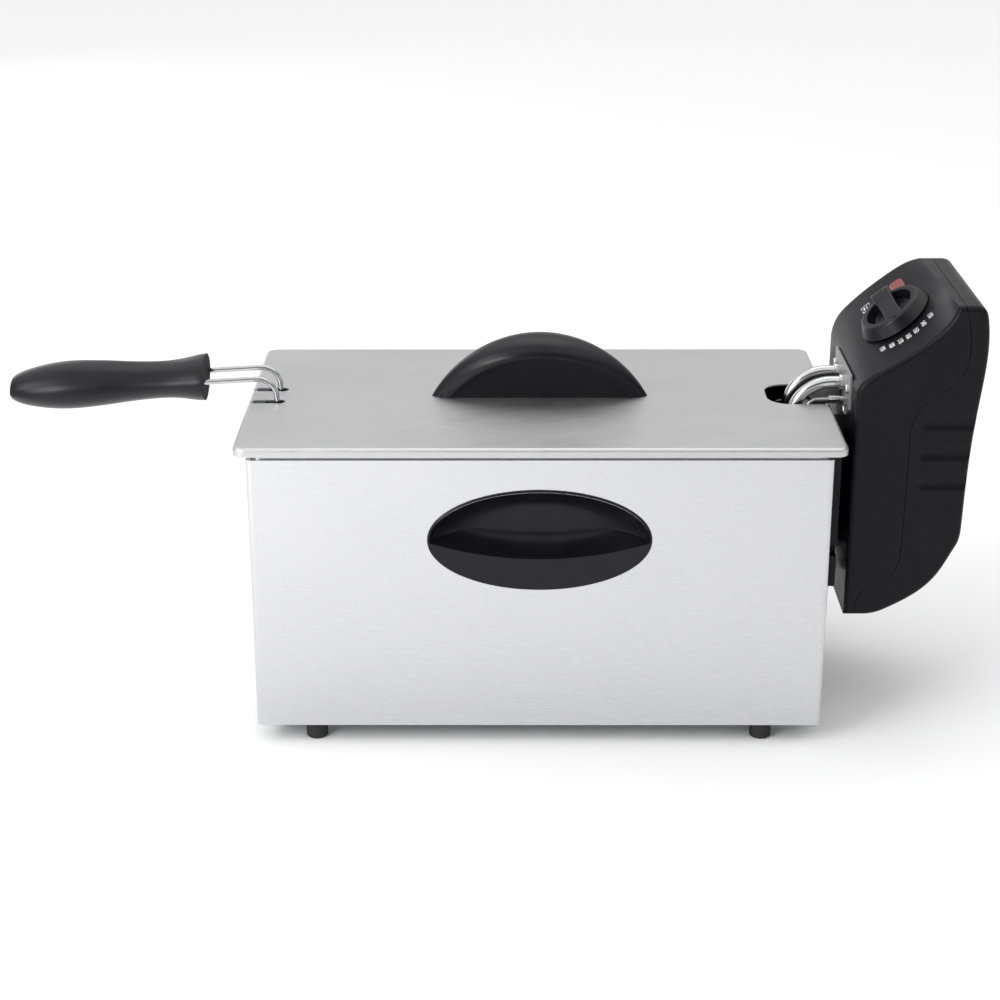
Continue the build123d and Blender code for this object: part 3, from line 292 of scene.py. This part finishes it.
GRIP_BLACK = (0.006, 0.0055, 0.0075)
PAINTS = {
    "brushed_steel": brushed("brushed_steel", (0.605, 0.605, 0.615), 0.22, relief=0.3),
    "lid_steel": brushed("lid_steel", (0.575, 0.575, 0.58), 0.42, 0.012, 0.05, 0.35),
    "pan_steel": brushed("pan_steel", (0.60, 0.60, 0.61), 0.3, 0.02, 0.12, 0.6),
    "base_steel": galvanised("base_steel", (0.55, 0.56, 0.57)),
    "black_plastic": moulded("black_plastic", (0.0042, 0.0036, 0.0058), 0.35, 0.0006, 0.2,
                             Specular_IOR_Level=0.165),
    "grip_plastic": moulded("grip_plastic", GRIP_BLACK, 0.32, 0.0008, 0.1, 0.15, Specular_IOR_Level=0.25),
    "knob_plastic": moulded("knob_plastic", GRIP_BLACK, 0.26, 0.0005, 0.1, Specular_IOR_Level=0.3),
    "foot_rubber": rubber("foot_rubber"),
    "bright_wire": drawn_wire("bright_wire", (0.52, 0.52, 0.525), 0.1),
    "basket_wire": drawn_wire("basket_wire", (0.52, 0.52, 0.53), 0.16),
    "element_steel": heated_tube("element_steel"),
    "bracket_steel": brushed("bracket_steel", (0.40, 0.40, 0.405), 0.34, 0.01, 0.1),
    "hook_steel": dark_bracket_finish("hook_steel"),
    "screw_steel": zinc_screw("screw_steel"),
    "lens_red": lens("lens_red"),
    "lamp_glass": lamp_glass("lamp_glass"),
    "bakelite": moulded("bakelite", (0.05, 0.035, 0.03), 0.42, 0.001, 0.15),
    "terminal_plastic": moulded("terminal_plastic", (0.62, 0.60, 0.55), 0.5, 0.001, 0.12, 0.1),
    "terminal_metal": brass("terminal_metal"),
    "lead_insulation": sleeving("lead_insulation", (0.6, 0.57, 0.52)),
}
PRINT = dial_ink("dial_ink")
for part in frame["record"]["subparts"]:
    node = NODES[part["node"]]
    finish = "lid_steel" if part["node"] == "lid_panel" else part["material_slot"]
    node.data.materials.clear()
    node.data.materials.append(PAINTS[finish].material)


# ---------------------------------------------------------------- mesh helpers

def piece(name, mesh, body, paint):
    """Link a finished mesh as a piece that rides on a CAD body."""
    made = bpy.data.objects.new(name, mesh)
    bpy.context.scene.collection.objects.link(made)
    mesh.materials.append(paint.material)
    mesh.shade_smooth()
    mesh.set_sharp_from_angle(angle=radians(35))
    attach(made, body)
    return made


def tube_mesh(name, paths, radius, sides=6):
    """Round wires along flat paths. A path is its points, the normal of its plane, and whether it closes."""
    verts, faces = [], []
    for points, normal, closed in paths:
        count, first = len(points), len(verts)
        for index, point in enumerate(points):
            ahead = points[(index + 1) % count] if closed or index + 1 < count else point
            behind = points[index - 1] if closed or index else point
            across = normal.cross(ahead - behind).normalized()
            for side in range(sides):
                turn = 2 * pi * side / sides
                verts.append(point + radius * (cos(turn) * across + sin(turn) * normal))
        for index in range(count if closed else count - 1):
            near, far = first + index * sides, first + (index + 1) % count * sides
            for side in range(sides):
                other = (side + 1) % sides
                faces.append((near + side, near + other, far + other, far + side))
        if not closed:
            faces.append(tuple(range(first, first + sides)))
            faces.append(tuple(range(first + (count - 1) * sides, first + count * sides))[::-1])
    mesh = bpy.data.meshes.new(name)
    mesh.from_pydata([housing(*vert) for vert in verts], [], faces)
    return mesh


# ---------------------------------------------------------------- woven basket

BASKET_CENTRE_X, BASKET_FLOOR_Z, BASKET_RIM_Z = -5.0, 53.0, 133.0
BASKET_HALF_X, BASKET_HALF_Y, BASKET_TAPER = 136.0, 56.0, 5.0
BASKET_CORNER, FLOOR_BEND = 16.0, 7.0
MESH_WIRE_RADIUS, MESH_PITCH, WEAVE = 0.42, 6.0, 0.36
MESH_SKIN = 0.8
CORNER_STEPS = 8


def wall_half(half, z):
    """Half the basket's size at height z, to the middle of the woven wires."""
    return half - MESH_SKIN - BASKET_TAPER * (BASKET_RIM_Z - z) / (BASKET_RIM_Z - BASKET_FLOOR_Z)


def u_profile(half, row):
    """Half of a U wire from the floor's middle to the rim: distance out, height and outward slope."""
    floor_z = BASKET_FLOOR_Z + MESH_SKIN
    flat = wall_half(half, floor_z + FLOOR_BEND) - FLOOR_BEND
    bend = FLOOR_BEND * pi / 2
    pitch = (flat + bend) / round((flat + bend) / MESH_PITCH)
    steps = round((flat + bend) / pitch)
    places = []
    for half_step in range(2 * steps + 1):
        out = half_step * pitch / 2
        turn = max(0.0, (out - flat) / FLOOR_BEND)
        out_x = min(out, flat) + FLOOR_BEND * sin(turn)
        places.append((out_x, floor_z + FLOOR_BEND * (1 - cos(turn)), turn, half_step))
    z, half_step = floor_z + FLOOR_BEND + MESH_PITCH / 2, 2 * steps + 1
    while z < BASKET_RIM_Z:
        places.append((wall_half(half, z), z, pi / 2, half_step))
        z, half_step = z + MESH_PITCH / 2, half_step + 1
    places.append((wall_half(half, BASKET_RIM_Z), BASKET_RIM_Z, pi / 2, 1))
    points = []
    for out, z, turn, half_step in places:
        shift = WEAVE * cos(pi * half_step / 2) * (-1) ** row
        points.append((out + shift * sin(turn), z - shift * cos(turn)))
    return points


def u_wires(half, span, place):
    """U-shaped wires side by side. place(along, out, z) puts one of their points in the housing's frame."""
    wires = []
    count = int(span // MESH_PITCH)
    for row in range(-count, count + 1):
        side = u_profile(half, row)
        along = row * span / (count + 0.5)
        far_half = [place(along, -out, z) for out, z in reversed(side[1:])]
        wires.append(far_half + [place(along, out, z) for out, z in side])
    return wires


def turned(quarter, x, y, z):
    """A wall point given as if it were on the front wall, turned on to one of the four walls."""
    x, y = ((x, y), (-y, x), (-x, -y), (y, -x))[quarter]
    return Vector((BASKET_CENTRE_X + x, y, z))


def ring(z, row):
    """One level wire round the basket's walls, waved over and under the upright wires."""
    half_x, half_y = wall_half(BASKET_HALF_X, z), wall_half(BASKET_HALF_Y, z)
    flat_x, flat_y = half_x - BASKET_CORNER, half_y - BASKET_CORNER
    points = []
    for quarter in range(4):
        long_side = quarter % 2 == 0
        flat = flat_x if long_side else flat_y
        out = half_y if long_side else half_x
        steps = 2 * round(2 * flat / MESH_PITCH)
        for step in range(steps):
            shift = WEAVE * cos(pi * step / 2) * (-1) ** row
            points.append(turned(quarter, -flat + 2 * flat * step / steps, -out - shift, z))
        for step in range(CORNER_STEPS):
            angle = -pi / 2 + pi / 2 * step / CORNER_STEPS
            corner_x = flat + BASKET_CORNER * cos(angle)
            corner_y = -out + BASKET_CORNER + BASKET_CORNER * sin(angle)
            points.append(turned(quarter, corner_x, corner_y, z))
    return points


def corner_wires():
    """Upright wires round the four corners, which end where the floor's own wires take over."""
    wires = []
    for sign_x, sign_y in ((1, 1), (-1, 1), (-1, -1), (1, -1)):
        for angle in (18, 36, 54, 72):
            level = Vector((sign_x * cos(radians(angle)), sign_y * sin(radians(angle)), 0))
            points = []
            for out, z in u_profile(BASKET_HALF_X, angle // 18):
                beyond = out - wall_half(BASKET_HALF_X, max(z, BASKET_FLOOR_Z + FLOOR_BEND))
                if beyond < -BASKET_CORNER:
                    continue
                centre_x = wall_half(BASKET_HALF_X, z) - BASKET_CORNER
                centre_y = wall_half(BASKET_HALF_Y, z) - BASKET_CORNER
                centre = Vector((BASKET_CENTRE_X + sign_x * centre_x, sign_y * centre_y, z))
                drop = min(0.0, out - wall_half(BASKET_HALF_X, z))
                points.append(centre + level * max(0.5, BASKET_CORNER + drop))
            wires.append((points, level.cross(Vector((0, 0, 1))), False))
    return wires


def add_basket_weave():
    """Woven wire tub: wires across, wires along, and rings round the walls."""
    paths = corner_wires()
    span_x = wall_half(BASKET_HALF_X, BASKET_FLOOR_Z) - BASKET_CORNER
    span_y = wall_half(BASKET_HALF_Y, BASKET_FLOOR_Z) - BASKET_CORNER
    across = u_wires(BASKET_HALF_Y, span_x, lambda along, out, z: Vector((BASKET_CENTRE_X + along, out, z)))
    along = u_wires(BASKET_HALF_X, span_y, lambda along, out, z: Vector((BASKET_CENTRE_X + out, along, z)))
    paths += [(points, Vector((1, 0, 0)), False) for points in across]
    paths += [(points, Vector((0, 1, 0)), False) for points in along]
    z, row = BASKET_FLOOR_Z + MESH_SKIN + FLOOR_BEND, 0
    while z < BASKET_RIM_Z - 2:
        paths.append((ring(z, row), Vector((0, 0, 1)), True))
        z, row = z + MESH_PITCH, row + 1
    mesh = tube_mesh("basket_weave", paths, MESH_WIRE_RADIUS)
    weave = piece("basket_weave", mesh, "basket", PAINTS["basket_wire"])
    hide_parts("basket_mesh")


# ---------------------------------------------------------------- dial markings

PANEL_SLOPE, PANEL_TILT = radians(37.4), radians(6.6)
KNOB_CENTRE = (197.6, -3.2, 209.9)
PRINT_LIFT = 0.03
NUMBER_ANGLES = (-122, -110.5, -100, -90, -80, -69, -57)
NUMBER_RADIUS, NUMBER_HEIGHT, TOP_TEMPERATURE = 28.8, 4.3, 190
THIN_BAR = 0.5
SHELL_MESH = NODES["head_front_shell"].data
PANEL_FACE = BVHTree.FromPolygons([vert.co for vert in SHELL_MESH.vertices],
                                  [face.vertices for face in SHELL_MESH.polygons])


def panel_matrix(along, across, turn):
    """Place on the control panel: up its slope, across it, and turned about its normal."""
    normal = Vector((-sin(PANEL_SLOPE) * cos(PANEL_TILT), -sin(PANEL_TILT),
                     cos(PANEL_SLOPE) * cos(PANEL_TILT)))
    up_slope = Vector((cos(PANEL_SLOPE), 0, sin(PANEL_SLOPE)))
    level = normal.cross(up_slope)
    axes = Matrix((up_slope, level, normal)).transposed().to_4x4()
    shift = along * up_slope + across * level
    origin = housing(*(Vector(KNOB_CENTRE) + shift))
    return Matrix.Translation(origin) @ axes @ Matrix.Rotation(turn, 4, "Z")


def printed(name, mesh, along, across, turn=0.0):
    """A flat mesh in mm, laid on the panel's slightly curved face."""
    place = panel_matrix(along, across, turn)
    normal = place.to_3x3() @ Vector((0, 0, 1))
    for vert in mesh.vertices:
        flat = place @ Vector((vert.co.x * MM, vert.co.y * MM, 0))
        touch = PANEL_FACE.ray_cast(flat + 0.008 * normal, -normal, 0.02)[0] or flat
        vert.co = touch + (PRINT_LIFT + vert.co.z) * MM * normal
    piece(name, mesh, "control_head", PRINT)


def text_mesh(name, words, height):
    curve = bpy.data.curves.new(name, "FONT")
    curve.body, curve.size = words, height
    curve.align_x, curve.align_y = "CENTER", "CENTER"
    curve.extrude, curve.offset, curve.space_character = 0.02, 0.06, 0.86
    holder = bpy.data.objects.new(name, curve)
    mesh = bpy.data.meshes.new_from_object(holder)
    bpy.data.objects.remove(holder)
    return mesh


def bar_mesh(name, rectangles):
    """Thin printed bars, each given by its two ends and its width."""
    verts, faces = [], []
    for (x0, y0), (x1, y1), width in rectangles:
        length = hypot(x1 - x0, y1 - y0)
        dx, dy = (x1 - x0) / length * width / 2, (y1 - y0) / length * width / 2
        first = len(verts)
        for z in (-0.02, 0.02):
            verts += [(x0 - dy, y0 + dx, z), (x0 + dy, y0 - dx, z),
                      (x1 + dy, y1 - dx, z), (x1 - dy, y1 + dx, z)]
        faces += [(first + 4, first + 5, first + 6, first + 7), (first + 3, first + 2, first + 1, first)]
        faces += [(first + a, first + b, first + b + 4, first + a + 4)
                  for a, b in ((0, 1), (1, 2), (2, 3), (3, 0))]
    mesh = bpy.data.meshes.new(name)
    mesh.from_pydata(verts, [], faces)
    return mesh


def add_dial_print():
    """Temperatures round the front of the knob, bars in a frame beside it, and a row of dashes."""
    level = radians(-90)
    for index, angle in enumerate(NUMBER_ANGLES):
        turn = radians(angle)
        mesh = text_mesh(f"dial_number_{index}", str(TOP_TEMPERATURE - 10 * index), NUMBER_HEIGHT)
        printed(f"dial_number_{index}", mesh, NUMBER_RADIUS * cos(turn), NUMBER_RADIUS * sin(turn), level)
    frame_bars = [((-3.6, -2.6), (-1.2, -2.6), THIN_BAR), ((1.2, -2.6), (3.6, -2.6), THIN_BAR),
                  ((3.6, -2.6), (3.6, 2.2), THIN_BAR), ((3.6, 2.6), (0.9, 2.6), THIN_BAR),
                  ((-1.4, 2.6), (-3.6, 2.6), THIN_BAR), ((-3.6, 2.2), (-3.6, -2.2), THIN_BAR),
                  ((-1.9, -1.1), (1.6, -1.1), 1.0), ((-1.6, 0.7), (0.1, 0.7), 0.8),
                  ((1.1, 0.7), (1.9, 0.7), 0.8)]
    printed("dial_basket_mark", bar_mesh("dial_basket_mark", frame_bars), -11.5, 33.5, level)
    dashes = [((-3.3, -0.5), (-2.2, 0.7), THIN_BAR), ((-0.9, -0.5), (0.2, 0.6), THIN_BAR),
              ((1.5, -0.5), (2.6, 0.6), THIN_BAR)]
    printed("dial_dashes", bar_mesh("dial_dashes", dashes), 1.5, 36.0, level)


# ---------------------------------------------------------------- stage, light and camera

FLOOR_HALF = 14.0
WORLD_STRENGTH = 1.45
HORIZON_LEVEL, ZENITH_LEVEL = 0.58, 0.66
SKY_LEVELS = ((0.14, 0.56), (0.3, 0.32), (0.48, 0.34), (0.7, 1.0), (0.88, 0.95))


def add_floor():
    mesh = bpy.data.meshes.new("floor")
    half = FLOOR_HALF
    corners = [(-half, -half, 0), (half, -half, 0), (half, half, 0), (-half, half, 0)]
    mesh.from_pydata(corners, [], [(0, 1, 2, 3)])
    floor = bpy.data.objects.new("floor", mesh)
    bpy.context.scene.collection.objects.link(floor)
    mesh.materials.append(Paint("floor_paper", (0.9, 0.9, 0.9), 0.0, 0.9).material)


def add_softbox(name, place, target, size, power):
    light = bpy.data.lights.new(name, "AREA")
    light.shape = "RECTANGLE"
    light.size, light.size_y = size
    light.energy = power
    lamp = bpy.data.objects.new(name, light)
    lamp.location = place
    lamp.visible_camera = False
    lamp.rotation_euler = (Vector(target) - Vector(place)).to_track_quat("-Z", "Y").to_euler()
    bpy.context.scene.collection.objects.link(lamp)


def grey(level):
    return (level, level, level, 1)


def map_range(tree, value, start, end, low, high):
    """A world node that maps value from start..end to low..high."""
    made = tree.nodes.new("ShaderNodeMapRange")
    tree.links.new(value, made.inputs["Value"])
    for socket, number in (("From Min", start), ("From Max", end), ("To Min", low), ("To Max", high)):
        made.inputs[socket].default_value = number
    return made.outputs[0]


def add_world():
    """Pale at the horizon, dim above it, bright overhead, and darkest on the user's side."""
    world = bpy.data.worlds.new("studio")
    world.use_nodes = True
    tree = world.node_tree
    parts = tree.nodes.new("ShaderNodeSeparateXYZ")
    tree.links.new(tree.nodes.new("ShaderNodeTexCoord").outputs["Generated"], parts.inputs[0])
    sky = tree.nodes.new("ShaderNodeValToRGB")
    tree.links.new(parts.outputs["Z"], sky.inputs[0])
    stops = sky.color_ramp.elements
    stops[0].position, stops[0].color = 0.0, grey(HORIZON_LEVEL)
    stops[1].position, stops[1].color = 1.0, grey(ZENITH_LEVEL)
    for position, brightness in SKY_LEVELS:
        stops.new(position).color = grey(brightness)
    level = tree.nodes.new("ShaderNodeMath")
    level.operation = "MAXIMUM"
    tree.links.new(map_range(tree, parts.outputs["Y"], -0.95, -0.5, 0.12, 1.0), level.inputs[0])
    tree.links.new(map_range(tree, parts.outputs["Z"], 0.14, 0.26, 1.0, 0.0), level.inputs[1])
    mix = tree.nodes.new("ShaderNodeMixRGB")
    mix.blend_type = "MULTIPLY"
    mix.inputs[0].default_value = 1.0
    tree.links.new(sky.outputs[0], mix.inputs[1])
    tree.links.new(level.outputs[0], mix.inputs[2])
    tree.links.new(mix.outputs[0], tree.nodes["Background"].inputs["Color"])
    tree.nodes["Background"].inputs["Strength"].default_value = WORLD_STRENGTH
    bpy.context.scene.world = world


def add_camera():
    """Camera fitted to the housing's straight edges: 22 degrees down, a long lens, small shift."""
    data = bpy.data.cameras.new("camera")
    data.sensor_width, data.lens = 36.0, 78.88
    data.shift_y = 0.067
    data.clip_start, data.clip_end = 0.05, 50
    camera = bpy.data.objects.new("camera", data)
    pitch, yaw, roll = radians(22.027), radians(-0.3475), radians(-0.130)
    forward = Vector((sin(yaw) * cos(pitch), cos(yaw) * cos(pitch), -sin(pitch)))
    level = Vector((cos(yaw), -sin(yaw), 0))
    upright = level.cross(forward)
    right = cos(roll) * level + sin(roll) * upright
    up = -sin(roll) * level + cos(roll) * upright
    turn = Matrix((right, up, -forward)).transposed().to_4x4()
    camera.matrix_world = Matrix.Translation(housing(-14.65, -1179.97, 536.65)) @ turn
    bpy.context.scene.collection.objects.link(camera)
    bpy.context.scene.camera = camera


add_basket_weave()
add_dial_print()
add_floor()
add_world()
add_softbox("key", (-1.45, -0.75, 1.25), (-0.1, -0.3, 0.05), (0.7, 0.9), 8)
add_softbox("front_left", (-0.75, -0.9, 0.6), (-0.28, -0.42, 0.0), (0.4, 0.4), 6.5)
add_softbox("back", (-1.1, 1.9, 0.75), (0.2, 0, 0.15), (0.9, 0.9), 2.5)
add_softbox("top", (0.1, 0.7, 2.0), (0, 0, 0.1), (1.2, 0.9), 4)
add_camera()
bpy.context.scene.view_settings.view_transform = "Standard"
